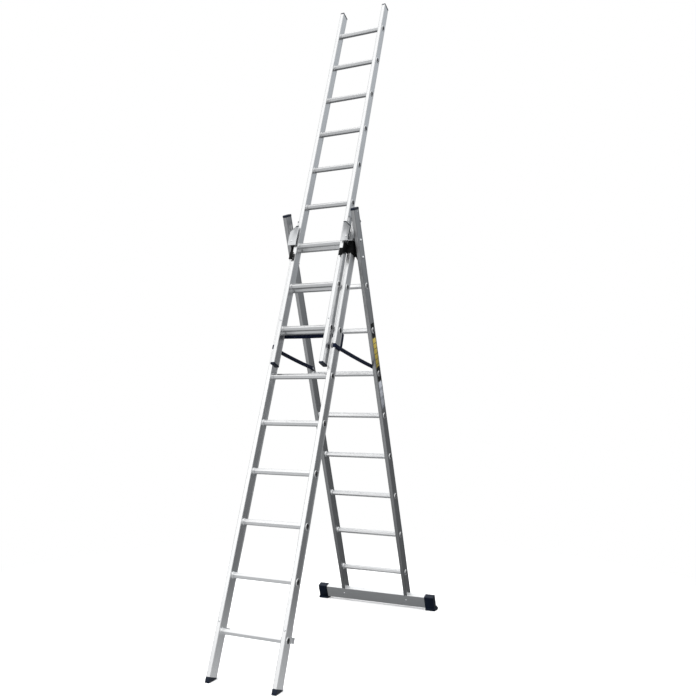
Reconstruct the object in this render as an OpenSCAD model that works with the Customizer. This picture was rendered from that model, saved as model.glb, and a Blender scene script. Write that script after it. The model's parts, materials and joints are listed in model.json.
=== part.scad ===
// Three-section combination ladder: two sections stand as an A-frame and the
// third is raised in front of the front one. Millimetres, +Z up, X across the
// rungs, +Y from the climbing side towards the rear section. The origin is on
// the floor under the middle of the footprint.
//
// Each section is drawn upright in its own frame: X across, Y from its front
// face backwards, Z up along its stiles. place_middle(), place_top() and
// place_rear() lean that frame into its place.

/* [Sections] */
// Distance between rung centres along a stile
rung_pitch = 280; // [240:5:320]
// Number of rungs in the middle and top sections
rung_count = 9; // [8:1:10]
// Distance from the floor end of a section to its first rung
foot_to_rung = 250; // [200:5:300]
// Length of stile above the last rung
over_rung = 196; // [160:4:240]
// Lean of the front sections from upright, in degrees
front_lean = 20.5; // [16:0.1:24]
// Lean of the rear section from upright, in degrees
rear_lean = 19.8; // [16:0.1:24]
// Rungs by which the top section is raised
raised_rungs = 6; // [3:1:7]

/* [Widths] */
// Outer width of the top section
top_w = 336; // [300:2:380]
// Side gap between the top and middle stiles
top_gap = 10; // [8:1:14]
// Side gap between the middle and rear stiles
rear_gap = 13; // [12:1:18]
// Distance between rung planes of the top and middle sections
top_offset = 47; // [47:1:52]
// Distance between rung planes of the middle and rear sections when folded
rear_offset = 50; // [50:1:56]

/* [Stiles] */
// Width of every stile
stile_w = 25; // [22:1:30]
// Depth of the top section's stiles
top_d = 60; // [58:1:62]
// Depth of the middle section's stiles
middle_d = 64; // [62:1:66]
// Depth of the rear section's stiles
rear_d = 68; // [66:1:76]
// Wall of the stile tube
stile_wall = 1.8; // [1.4:0.1:2.4]
// Depth of the long recess in a stile's sides
recess = 0.8; // [0.4:0.1:1]
// Width of the raised bead beside that recess
bead = 8; // [6:0.5:9]

/* [Rungs] */
// Height of a rung across its flat tread and underside
rung_h = 30; // [26:1:32]
// Depth of a rung from its front ridge to its rear ridge
rung_d = 32.8; // [30:0.2:33]
// Wall of a rung tube
rung_wall = 1.6; // [1.2:0.1:2.2]
// Width of the swaged rim round a rung's end
rim_w = 3.1; // [2:0.1:4]

/* [Hinge] */
// Distance of the hinge pin below the last rung
hinge_drop = 40; // [30:1:60]
// Radius of the hinge pin
pin_r = 5; // [4:0.5:5.5]
// Radial clearance of the pin in its collar
pin_clearance = 0.05; // [0.03:0.01:0.08]
// Thickness of the collar's outer cheek
collar_t = 5; // [4:0.5:6]
// Distance between the two bolts of a hinge plate
hinge_bolt_pitch = 104; // [90:2:110]

/* [Stabiliser] */
// Length of the stabiliser tube
bar_l = 750; // [640:10:900]
// Height of the stabiliser tube
bar_h = 80; // [60:2:84]
// Depth of the stabiliser tube
bar_d = 38; // [30:1:44]
// Height of the tube's front edge above the floor, along the stile
bar_lift = 14; // [10:1:20]
// Length of an end cap beyond the tube
bar_cap_l = 48; // [40:2:60]
// How far the pad under an end cap stands out beyond it
pad_rim = 6; // [3:1:10]

/* [Feet and caps] */
// Height of the front edge of a foot
foot_h = 30; // [26:1:40]
// How far a plastic cap stands out round its stile
cap_lip = 1; // [0.5:0.1:1.5]
// Height of the top caps of the front sections
cap_h = 9; // [6:1:12]
// Height of the rear section's top caps
rear_cap_h = 14; // [9:1:18]

/* [Hooks] */
// Width of a rung hook
hook_w = 20; // [16:1:22]
// Thickness of a rung hook
hook_t = 5; // [4:0.5:5]

/* [Straps] */
// Width of the webbing
strap_w = 25; // [20:1:30]
// Thickness of the webbing
strap_t = 2; // [1.5:0.1:2.5]
// Distance of the strap's wrap below the rung that carries the top section
strap_drop = 105; // [80:5:130]
// Distance of the strap's rivet above the next rung down, on the rear stile
strap_rise = 40; // [30:5:70]
// Distance of the cross band's lower edge below the carrying rung
band_drop = 44; // [42:1:60]

/* [Hidden] */
$fn = 48;
eps = 0.01;
run_gap = 0.5; // between cheeks that pass each other
middle_w = top_w + 2 * top_gap + 2 * stile_w;
rear_w = middle_w + 2 * rear_gap + 2 * stile_w;
stile_top = foot_to_rung + (rung_count - 1) * rung_pitch + over_rung;
top_rise = raised_rungs * rung_pitch;
top_v = middle_d / 2 - top_offset - top_d / 2; // front face of the top section
last_rung = foot_to_rung + (rung_count - 1) * rung_pitch;
carrying_rung = foot_to_rung + top_rise;
rim_r = rung_d / 2 + rim_w;

// Straps and the band between the stiles.
strap_front_s = carrying_rung - strap_drop;
strap_rear_s = carrying_rung - rung_pitch + strap_rise;
band_z = carrying_rung - band_drop;

// Hook arm, measured from the first rung it hangs over.
hook_back_h = 46; // height of the leaf bolted to the stile
hook_drop = 24; // length of the tip behind the rung
hook_inset = 2; // distance of its edge from the stile's outer side
hook_bolt_z = foot_to_rung + 44;

// The pin lies midway between the rung planes of the middle and rear sections.
hinge_s = last_rung - hinge_drop;
pin_v = middle_d / 2 + rear_offset / 2;
rear_pin_v = rear_d / 2 - rear_offset / 2;
pin_y = pin_v * cos(front_lean) + hinge_s * sin(front_lean);
pin_z = hinge_s * cos(front_lean) - pin_v * sin(front_lean);
rear_pin_s = (pin_z - rear_pin_v * sin(rear_lean)) / cos(rear_lean);
rear_y = pin_y - rear_pin_v * cos(rear_lean) + rear_pin_s * sin(rear_lean);

// Rear feet, and the shift that puts the origin under the footprint's middle.
foot_front = 12;
foot_back = 62;
foot_pad_h = 14;
cap_overlap = 14; // length of tube inside an end cap
y_front = -cap_lip / cos(front_lean);
y_back = rear_y + foot_back;
y_shift = -(y_front + y_back) / 2;

rear_rungs = rung_count - 1;
rear_bolt_s = [last_rung - hinge_bolt_pitch, last_rung];
rear_bolt_r = 4;
plate_t = rear_gap - collar_t - run_gap;

// ---- Frames ----

module place_middle() {
    translate([0, y_shift, 0]) rotate([-front_lean, 0, 0]) children();
}

module place_top() {
    place_middle() translate([0, top_v, top_rise]) children();
}

module place_rear() {
    translate([0, y_shift + rear_y, 0]) rotate([rear_lean, 0, 0]) children();
}

// Draws a right-hand piece on the side asked for, 1 right or -1 left.
module on_side(side) {
    if (side > 0) children();
    else mirror([1, 0, 0]) children();
}

module both_sides() {
    for (side = [-1, 1]) on_side(side) children();
}

// ---- Profiles ----

module rounded(w, d, r) {
    translate([r, 0]) square([w - 2 * r, d]);
    translate([0, r]) square([w, d - 2 * r]);
    for (x = [r, w - r], y = [r, d - r]) translate([x, y]) circle(r = r);
}

// Hollow stile with a recess along both sides and a groove along both edges.
module stile_profile(d) {
    groove_w = 6;
    difference() {
        rounded(stile_w, d, 2);
        translate([-eps, bead]) square([recess + eps, d - 2 * bead]);
        translate([stile_w - recess, bead]) square([recess + eps, d - 2 * bead]);
        for (y = [-eps, d - recess / 2])
            translate([(stile_w - groove_w) / 2, y]) square([groove_w, recess / 2 + eps]);
        translate([recess + stile_wall, stile_wall + recess])
            square([stile_w - 2 * recess - 2 * stile_wall, d - 2 * stile_wall - 2 * recess]);
    }
}

module rung_outline(inset) {
    intersection() {
        circle(r = (rung_h / 2 - inset) / cos(30), $fn = 6);
        circle(r = rung_d / 2 - inset);
    }
}

// Turns an outline in (depth, height) into a bar along X from x0 to x1.
module along_x(x0, x1) {
    translate([x0, 0, 0]) rotate([90, 0, 90]) linear_extrude(x1 - x0) children();
}

// ---- Shared pieces ----

// Right stile of a section, from z0 to z1, with a hole for each of its rungs.
module stile(w, d, z0, z1, rungs) {
    difference() {
        translate([w / 2 - stile_w, 0, z0]) linear_extrude(z1 - z0) stile_profile(d);
        for (i = [0:rungs - 1])
            translate([0, d / 2, foot_to_rung + i * rung_pitch])
                along_x(w / 2 - stile_w - 1, w / 2 + 1) rung_outline(0);
    }
}

// One rung with tread grooves and a swaged rim at each end.
module rung(w, d, i) {
    face = w / 2 - recess;
    inner = w / 2 - stile_w + recess;
    groove = 1.6;
    translate([0, d / 2, foot_to_rung + i * rung_pitch]) difference() {
        union() {
            along_x(-face - 1, face + 1) rung_outline(0);
            both_sides() {
                translate([face, 0, 0]) rotate([0, 90, 0]) cylinder(h = 2.4, r1 = rim_r, r2 = rim_r - 1.8);
                translate([inner, 0, 0]) rotate([0, -90, 0]) cylinder(h = 3, r1 = rim_r, r2 = rim_r - 2);
            }
        }
        along_x(-w, w) rung_outline(rung_wall);
        for (k = [-2:2])
            translate([-inner + 12, k * 3.4 - groove / 2, rung_h / 2 - 0.7]) cube([2 * inner - 24, groove, 2]);
    }
}

module stile_cap(w, d, z, h) {
    lip = cap_lip;
    translate([w / 2 - stile_w - lip, -lip, z]) {
        linear_extrude(h - 2) rounded(stile_w + 2 * lip, d + 2 * lip, 3);
        translate([1, 1, h - 2]) linear_extrude(2) rounded(stile_w + 2 * lip - 2, d + 2 * lip - 2, 3);
    }
}

// Bent flat bar, bolted to the back of a stile, that hangs over a rung behind.
// x1 is its outer edge, v the stile's back and offset the rung plane's distance.
module hook(x1, v, offset, d) {
    reach = offset - d / 2 + rung_d / 2 + 0.6;
    arm_z = foot_to_rung + rung_h / 2 + 0.5;
    round_r = 3;
    translate([x1 - hook_w, v, 0]) difference() {
        union() {
            translate([0, 0, arm_z]) cube([hook_w, hook_t, hook_back_h]);
            translate([0, 0, arm_z]) cube([hook_w, reach + hook_t, hook_t]);
            translate([0, reach, arm_z - hook_drop]) cube([hook_w, hook_t, hook_drop + eps]);
        }
        translate([-1, reach + hook_t - round_r, arm_z + hook_t - round_r]) difference() {
            cube([hook_w + 2, round_r + 1, round_r + 1]);
            rotate([0, 90, 0]) cylinder(h = hook_w + 2, r = round_r);
        }
    }
}

module bolt_head(r, h) {
    cylinder(h = h * 0.4, r = r);
    translate([0, 0, h * 0.4]) cylinder(h = h * 0.6, r1 = r, r2 = r * 0.6);
}

// Heads in front of a stile and behind its hook, d the stile's depth.
module hook_bolts(x, d) {
    translate([x, 0, hook_bolt_z]) rotate([90, 0, 0]) bolt_head(5.5, 4);
    translate([x, d + hook_t, hook_bolt_z]) rotate([-90, 0, 0]) bolt_head(6, 4);
}

// ---- Middle section ----

module middle_stile(side) {
    color("gainsboro") place_middle() on_side(side)
        stile(middle_w, middle_d, foot_h, stile_top - cap_h, rung_count);
}

module middle_rung(i) {
    color("silver") place_middle() rung(middle_w, middle_d, i);
}

// Foot with a level sole that stands flat on the floor.
module middle_foot(side) {
    color("midnightblue") difference() {
        place_middle() on_side(side) {
            translate([middle_w / 2 - stile_w - cap_lip, -cap_lip, -20])
                linear_extrude(foot_h + 20) rounded(stile_w + 2 * cap_lip, middle_d + 2 * cap_lip, 3);
        }
        translate([-500, y_shift - 100, -100]) cube([1000, 400, 100]);
    }
}

module middle_cap(side) {
    color("midnightblue") place_middle() on_side(side)
        stile_cap(middle_w, middle_d, stile_top - cap_h, cap_h);
}

module middle_hooks() {
    color("slategray") place_middle() both_sides()
        hook(middle_w / 2 - hook_inset, middle_d, rear_offset, middle_d);
}

guide_t = 4;
guide_z0 = last_rung - 14; // lower end of the front flange
guide_z1 = guide_z0 + 97; // where its outer corner is cut off
guide_z2 = guide_z0 + 134;
guide_leg_z = last_rung + 26; // lower end of the leg on the stile, above the last rung's rim
guide_front = top_v - 15;
guide_lap = top_gap + 18; // how far the flange covers the top stile
guide_outer = stile_w + 3; // how far it reaches over the middle stile

// Angle plate screwed to the inner side of the middle stile; its flange keeps
// the top stile from tipping forwards.
module guide(side) {
    x1 = middle_w / 2 - stile_w;
    leg_back = 40;
    clear = -collar_front - 0.5;
    color("silver") place_middle() on_side(side) {
        translate([x1 - guide_t, 0, 0]) rotate([90, 0, 90]) linear_extrude(guide_t)
            polygon([[guide_front, guide_z0], [clear, guide_z0], [clear, guide_leg_z], [leg_back, guide_leg_z],
                     [leg_back, guide_leg_z + 36], [4, guide_z1], [guide_front, guide_z1]]);
        translate([x1, guide_front + guide_t, 0]) rotate([90, 0, 0]) linear_extrude(guide_t)
            polygon([[-guide_lap, guide_z0], [guide_outer, guide_z0], [guide_outer, guide_z1],
                     [-8, guide_z2], [-guide_lap, guide_z2]]);
    }
}

collar_z0 = hinge_s - 25;
collar_z1 = hinge_s + 56;
collar_front = 6;

// Black collar round the middle stile, with the bore for the hinge pin and a
// wing that runs forward beside the top stile and laps its front.
module hinge_collar(side) {
    x0 = middle_w / 2 - stile_w;
    x1 = middle_w / 2;
    inner_lap = 5;
    boss = pin_r + 6;
    wing_front = top_v - 9;
    wing_z0 = collar_z0 - 31;
    lip_t = 5;
    lip_w = top_gap + 14;
    color([0.05, 0.05, 0.06]) place_middle() on_side(side) difference() {
        union() {
            translate([x0 - inner_lap, -collar_front, collar_z0])
                cube([stile_w + inner_lap + collar_t, collar_front, collar_z1 - collar_z0]);
            translate([x0 - inner_lap, -eps, collar_z0]) cube([inner_lap, 12, collar_z1 - collar_z0]);
            translate([x1, 0, 0]) rotate([90, 0, 90]) linear_extrude(collar_t)
                polygon([[-collar_front, collar_z0], [pin_v + boss, collar_z0 + 7], [pin_v + boss, hinge_s + boss],
                         [40, collar_z1], [-collar_front, collar_z1]]);
            translate([x0 - inner_lap, 0, 0]) rotate([90, 0, 90]) linear_extrude(inner_lap)
                polygon([[wing_front, wing_z0], [-collar_front, collar_z0], [-eps, collar_z0],
                         [-eps, guide_z0 - 2], [wing_front, guide_z0 - 2]]);
            translate([x0 - lip_w, wing_front - lip_t, wing_z0 - 14]) cube([lip_w, lip_t + eps, 48]);
        }
        translate([x1 - 1, pin_v, hinge_s]) rotate([0, 90, 0])
            cylinder(h = collar_t + 2, r = pin_r + pin_clearance);
        translate([x1 - 1, middle_d / 2, last_rung]) rotate([0, 90, 0]) cylinder(h = 4, r = rim_r + 0.5);
    }
}

module middle_fasteners() {
    x = middle_w / 2 - hook_inset - hook_w / 2;
    color("lightgray") place_middle() both_sides() {
        hook_bolts(x, middle_d);
        for (z = [14, 38]) translate([middle_w / 2 - stile_w - guide_t, 16, guide_leg_z + z])
            rotate([0, -90, 0]) bolt_head(5, 3);
        translate([middle_w / 2 - 20, guide_front, guide_z0 + 30]) rotate([90, 0, 0]) bolt_head(5, 3);
    }
}

// Webbing fixed to the middle section: a wrap round each stile, a run up its
// back and a band across below the rung.
module strap_cross() {
    x0 = middle_w / 2 - stile_w;
    x1 = middle_w / 2;
    t = strap_t;
    color("midnightblue") place_middle() {
        both_sides() {
            difference() {
                translate([x0 - t, -t, strap_front_s - strap_w / 2])
                    cube([stile_w + 2 * t, middle_d + 2 * t, strap_w]);
                translate([x0, 0, strap_front_s - strap_w]) cube([stile_w, middle_d, 2 * strap_w]);
            }
            translate([x0, middle_d, strap_front_s + strap_w / 2 - eps])
                cube([stile_w, t, band_z - strap_front_s - strap_w / 2 + strap_w]);
        }
        translate([-x0 - eps, middle_d, band_z]) cube([2 * x0 + 2 * eps, t, strap_w]);
    }
}

// ---- Rear section ----

module bar_outline() {
    translate([0, bar_lift]) rounded(bar_d, bar_h, 3);
}

module rear_stile(side) {
    color("darkgray") place_rear() on_side(side) difference() {
        stile(rear_w, rear_d, bar_lift + 6, stile_top - rear_cap_h, rear_rungs);
        along_x(-rear_w, rear_w) bar_outline();
        translate([-rear_w, -1, 0]) cube([2 * rear_w, bar_d + 1, bar_lift + bar_h / 2]);
        for (z = rear_bolt_s) translate([0, rear_d / 2, z]) rotate([0, 90, 0])
            cylinder(h = rear_w, r = rear_bolt_r);
    }
}

module rear_rung(i) {
    color("silver") place_rear() rung(rear_w, rear_d, i);
}

module stabiliser_bar() {
    wall = 2.2;
    color("lightgray") place_rear() difference() {
        along_x(-bar_l / 2, bar_l / 2) bar_outline();
        along_x(-bar_l, bar_l) translate([wall, bar_lift + wall]) square([bar_d - 2 * wall, bar_h - 2 * wall]);
    }
}

// End cap of the stabiliser with a stepped pad on the floor.
module stabiliser_foot(side) {
    lip = 3;
    inner = bar_l / 2 - cap_overlap;
    outer = bar_l / 2 + bar_cap_l;
    pad_l = outer - inner + pad_rim;
    pad_d = foot_front + foot_back;
    step = 5;
    color("midnightblue") difference() {
        union() {
            place_rear() on_side(side) along_x(inner, outer)
                translate([-lip, bar_lift - lip - 8]) rounded(bar_d + 2 * lip, bar_h + 2 * lip + 8, 5);
            on_side(side) translate([inner, y_shift + rear_y - foot_front, 0]) {
                linear_extrude(foot_pad_h) rounded(pad_l, pad_d, 6);
                translate([0, step, foot_pad_h - eps]) linear_extrude(8) rounded(pad_l - step, pad_d - 2 * step, 6);
            }
        }
        place_rear() along_x(-bar_l / 2, bar_l / 2) bar_outline();
        translate([-800, y_shift + rear_y - 200, -100]) cube([1600, 500, 100]);
    }
}

module rear_cap(side) {
    color("midnightblue") place_rear() on_side(side)
        stile_cap(rear_w, rear_d, stile_top - rear_cap_h, rear_cap_h);
}

// Plate bolted to the inner side of the rear stile, which carries the pin.
module hinge_plate(side) {
    x1 = rear_w / 2 - stile_w;
    t = plate_t;
    color([0.05, 0.05, 0.06]) place_rear() on_side(side) difference() {
        translate([x1 - t, 0, 0]) rotate([90, 0, 90]) linear_extrude(t)
            polygon([[rear_pin_v - pin_r - 6, rear_pin_s - 16], [20, rear_bolt_s[0] - 16],
                     [rear_d - 6, rear_bolt_s[0] - 16], [rear_d - 6, rear_bolt_s[1] + 16],
                     [20, rear_bolt_s[1] + 16], [rear_pin_v - pin_r - 6, rear_pin_s + 16]]);
        translate([x1 - t - 1, rear_pin_v, rear_pin_s]) rotate([0, 90, 0]) cylinder(h = t + 2, r = pin_r);
        for (z = rear_bolt_s) translate([x1 - t - 1, rear_d / 2, z]) rotate([0, 90, 0])
            cylinder(h = t + 2, r = rear_bolt_r);
    }
}

module hinge_pins() {
    tip = middle_w / 2 + 0.2;
    color("lightgray") place_rear() both_sides()
        translate([tip, rear_pin_v, rear_pin_s]) rotate([0, 90, 0])
            cylinder(h = rear_w / 2 - stile_w - tip, r = pin_r);
}

module rear_fasteners() {
    face = rear_w / 2 - recess;
    inner = rear_w / 2 - stile_w;
    t = plate_t;
    color("lightgray") place_rear() both_sides() {
        for (z = rear_bolt_s) {
            translate([face, rear_d / 2, z]) rotate([0, 90, 0]) bolt_head(9, 6);
            translate([inner - t, rear_d / 2, z]) rotate([0, 90, 0]) cylinder(h = face - inner + t, r = rear_bolt_r);
        }
        translate([rear_w / 2 - stile_w / 2, 0, bar_lift + bar_h / 2]) rotate([90, 0, 0]) bolt_head(5, 3);
        translate([face, rear_d - 20, stile_top - 26]) rotate([0, 90, 0]) bolt_head(4, 2);
        translate([inner - strap_t - 0.8, rear_d / 2, strap_rear_s]) rotate([0, -90, 0]) bolt_head(6, 2.5);
    }
}

// Two plain label patches in the recess of the right stile's outer side.
module labels() {
    t = 0.3;
    margin = 2;
    label_w = rear_d - 2 * bead - 2 * margin;
    upper_z = carrying_rung - rung_pitch + 38;
    lower_z = carrying_rung - 2 * rung_pitch + 52;
    color("gold") place_rear() translate([rear_w / 2 - recess, bead + margin, 0]) {
        translate([0, 0, upper_z]) cube([t, label_w, rung_pitch - 2 * 38]);
        translate([0, 0, lower_z]) cube([t, label_w, rung_pitch - 2 * 52]);
    }
}

// Webbing stretched from the middle stile's outer side to the rear stile's
// inner side; it slackens as the frame folds.
module strap(side) {
    tail = 14;
    y0 = (middle_d / 2) * cos(front_lean) + strap_front_s * sin(front_lean);
    z0 = strap_front_s * cos(front_lean) - (middle_d / 2) * sin(front_lean);
    y1 = rear_y + (rear_d / 2) * cos(rear_lean) - strap_rear_s * sin(rear_lean);
    z1 = strap_rear_s * cos(rear_lean) + (rear_d / 2) * sin(rear_lean);
    x0 = middle_w / 2 + 1.5 * strap_t + 0.3;
    x1 = rear_w / 2 - stile_w - strap_t / 2 - 0.3;
    run = norm([x1 - x0, y1 - y0, z1 - z0]);
    drop = atan2(z1 - z0, y1 - y0);
    skew = asin((x1 - x0) / run);
    color("midnightblue") on_side(side) translate([x0, y_shift + y0, z0]) rotate([drop, 0, 0])
        rotate([0, 0, -skew]) translate([-strap_t / 2, -tail, -strap_w / 2])
            cube([strap_t, run + 2 * tail, strap_w]);
}

// ---- Top section ----

top_foot = 18;
top_foot_h = 12;

module top_stile(side) {
    color("whitesmoke") place_top() on_side(side)
        stile(top_w, top_d, top_foot + top_foot_h, stile_top - cap_h, rung_count);
}

module top_rung(i) {
    color("silver") place_top() rung(top_w, top_d, i);
}

module top_hooks() {
    color("slategray") place_top() both_sides()
        hook(top_w / 2 - hook_inset, top_d, top_offset, top_d);
}

module top_caps() {
    color("midnightblue") place_top() both_sides() stile_cap(top_w, top_d, stile_top - cap_h, cap_h);
}

module top_feet() {
    color("midnightblue") place_top() both_sides()
        translate([top_w / 2 - stile_w - cap_lip, -cap_lip, top_foot])
            linear_extrude(top_foot_h) rounded(stile_w + 2 * cap_lip, top_d + 2 * cap_lip, 3);
}

module top_fasteners() {
    color("lightgray") place_top() both_sides() hook_bolts(top_w / 2 - hook_inset - hook_w / 2, top_d);
}

middle_stile(-1);  // middle_stile_left
middle_stile(1);  // middle_stile_right
for (i = [1:rung_count])
    middle_rung(i - 1);
middle_foot(-1);  // middle_foot_left
middle_foot(1);  // middle_foot_right
middle_cap(-1);  // middle_cap_left
middle_cap(1);  // middle_cap_right
middle_hooks();
guide(-1);  // guide_left
guide(1);  // guide_right
hinge_collar(-1);  // hinge_collar_left
hinge_collar(1);  // hinge_collar_right
middle_fasteners();
strap_cross();
rear_stile(-1);  // rear_stile_left
rear_stile(1);  // rear_stile_right
for (i = [1:rear_rungs])
    rear_rung(i - 1);
stabiliser_bar();
stabiliser_foot(-1);  // stabiliser_foot_left
stabiliser_foot(1);  // stabiliser_foot_right
rear_cap(-1);  // rear_cap_left
rear_cap(1);  // rear_cap_right
hinge_plate(-1);  // hinge_plate_left
hinge_plate(1);  // hinge_plate_right
hinge_pins();
rear_fasteners();
labels();
strap(-1);  // strap_left
strap(1);  // strap_right
top_stile(-1);  // top_stile_left
top_stile(1);  // top_stile_right
for (i = [1:rung_count])
    top_rung(i - 1);
top_hooks();
top_caps();
top_feet();
top_fasteners();
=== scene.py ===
"""Studio scene of a three-section aluminium combination ladder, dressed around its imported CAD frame."""

from __future__ import annotations

import json
import logging
import math
from dataclasses import dataclass, field
from enum import Enum
from typing import Iterable, Sequence

import bmesh
import bpy
from mathutils import Matrix, Vector

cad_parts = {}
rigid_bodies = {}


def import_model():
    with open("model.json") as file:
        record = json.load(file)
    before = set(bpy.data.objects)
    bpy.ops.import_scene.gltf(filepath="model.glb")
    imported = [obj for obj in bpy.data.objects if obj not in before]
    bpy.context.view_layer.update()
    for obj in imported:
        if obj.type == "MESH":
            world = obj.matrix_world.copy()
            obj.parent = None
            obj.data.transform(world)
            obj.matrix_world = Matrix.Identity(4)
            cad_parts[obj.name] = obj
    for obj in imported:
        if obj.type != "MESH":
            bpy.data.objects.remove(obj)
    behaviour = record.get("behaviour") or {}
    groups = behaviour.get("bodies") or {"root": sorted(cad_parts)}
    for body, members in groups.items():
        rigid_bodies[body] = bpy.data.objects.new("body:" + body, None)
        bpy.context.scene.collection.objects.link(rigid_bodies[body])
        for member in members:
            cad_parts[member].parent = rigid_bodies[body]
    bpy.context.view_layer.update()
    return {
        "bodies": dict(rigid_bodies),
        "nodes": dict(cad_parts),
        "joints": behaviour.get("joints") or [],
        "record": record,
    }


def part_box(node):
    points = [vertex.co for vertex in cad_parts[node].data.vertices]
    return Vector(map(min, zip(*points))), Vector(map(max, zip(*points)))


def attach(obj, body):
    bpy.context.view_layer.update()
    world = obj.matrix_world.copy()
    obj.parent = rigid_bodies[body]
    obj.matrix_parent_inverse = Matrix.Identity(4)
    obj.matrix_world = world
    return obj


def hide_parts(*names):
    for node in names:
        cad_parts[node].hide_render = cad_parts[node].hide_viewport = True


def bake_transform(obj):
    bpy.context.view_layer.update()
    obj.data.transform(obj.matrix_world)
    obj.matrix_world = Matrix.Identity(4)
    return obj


LOG = logging.getLogger("ladder")
FLOAT = "NodeSocketFloat"
VECTOR = "NodeSocketVector"
GEOMETRY = "NodeSocketGeometry"
DOUBLES = 2e-6
SEAT_GAP = 0.0003
X_WAY = Vector((1, 0, 0))


class Side(Enum):
    """Side of the ladder as the climber sees it: +X is right."""

    LEFT = -1
    RIGHT = 1

    @property
    def word(self) -> str:
        """Lower-case name used in node names."""
        return self.name.lower()


class Body(Enum):
    """Bodies that pieces ride on."""

    MIDDLE = "middle_section"
    REAR = "rear_section"
    TOP = "top_section"


# ---------------------------------------------------------------- shader helpers


class Shader:
    """Small builder for one node tree, a material's or a group's."""

    def __init__(self, tree: bpy.types.NodeTree) -> None:
        """Wraps a tree.

        Args:
            tree: The node tree to add nodes to.
        """
        self.tree = tree

    def add(self, kind: str, inputs: dict[object, object] | None = None, **props: object) -> bpy.types.Node:
        """Adds a node.

        Args:
            kind: The node's bl_idname.
            inputs: Values or output sockets by input name or index.
            props: Attributes to set on the node.

        Returns:
            The new node.
        """
        node = self.tree.nodes.new(kind)
        for name, value in props.items():
            setattr(node, name, value)
        for key, value in (inputs or {}).items():
            socket = node.inputs[key]
            if isinstance(value, bpy.types.NodeSocket):
                self.tree.links.new(value, socket)
            else:
                socket.default_value = value
        return node

    def math(self, operation: str, a: object, b: object = 0.0, clamp: bool = False) -> bpy.types.NodeSocket:
        """Adds a Math node and returns its output.

        Args:
            operation: Math operation name.
            a: First value or socket.
            b: Second value or socket.
            clamp: Whether the result is kept within 0 to 1.

        Returns:
            The result socket.
        """
        node = self.add("ShaderNodeMath", {0: a, 1: b}, operation=operation, use_clamp=clamp)
        return node.outputs[0]

    def remap(self, value: object, low: float, high: float,
              to_low: float = 0.0, to_high: float = 1.0) -> bpy.types.NodeSocket:
        """Maps a value from one range to another, clamped.

        Args:
            value: Input socket.
            low: Input mapped to to_low.
            high: Input mapped to to_high.
            to_low: Result at low.
            to_high: Result at high.

        Returns:
            The result socket.
        """
        ins = {"Value": value, "From Min": low, "From Max": high, "To Min": to_low, "To Max": to_high}
        return self.add("ShaderNodeMapRange", ins).outputs["Result"]

    def mix(self, factor: object, a: object, b: object) -> bpy.types.NodeSocket:
        """Mixes two colours and returns the result socket.

        Args:
            factor: Share of b.
            a: First colour or socket.
            b: Second colour or socket.

        Returns:
            The mixed colour socket.
        """
        node = self.add("ShaderNodeMix", data_type="RGBA")
        colour_inputs = [s for s in node.inputs if s.type == "RGBA"]
        for socket, value in ((node.inputs[0], factor), (colour_inputs[0], a), (colour_inputs[1], b)):
            if isinstance(value, bpy.types.NodeSocket):
                self.tree.links.new(value, socket)
            else:
                socket.default_value = value
        return [s for s in node.outputs if s.type == "RGBA"][0]

    def use(self, group: bpy.types.NodeTree, inputs: dict[str, object]) -> bpy.types.Node:
        """Places a node group.

        Args:
            group: The group's tree.
            inputs: Values or sockets by input name.

        Returns:
            The group node.
        """
        node = self.add("ShaderNodeGroup")
        node.node_tree = group
        for key, value in inputs.items():
            if isinstance(value, bpy.types.NodeSocket):
                self.tree.links.new(value, node.inputs[key])
            else:
                node.inputs[key].default_value = value
        return node


def grey(value: float, blue: float = 0.0) -> tuple[float, float, float, float]:
    """Neutral colour with an optional lift in blue.

    Args:
        value: Brightness.
        blue: Amount added to blue and half of it to green.

    Returns:
        An RGBA colour.
    """
    return (value, value + blue / 2, value + blue, 1.0)


def new_group(name: str, inputs: dict[str, tuple[str, object]],
              outputs: dict[str, str]) -> tuple[bpy.types.NodeTree, Shader]:
    """Starts a shader node group.

    Args:
        name: Group name.
        inputs: Socket type and default by input name.
        outputs: Socket type by output name.

    Returns:
        The tree and a builder for it.
    """
    tree = bpy.data.node_groups.new(name, "ShaderNodeTree")
    for key, (kind, default) in inputs.items():
        socket = tree.interface.new_socket(name=key, in_out="INPUT", socket_type=kind)
        socket.default_value = default
    for key, kind in outputs.items():
        tree.interface.new_socket(name=key, in_out="OUTPUT", socket_type=kind)
    return tree, Shader(tree)


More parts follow.
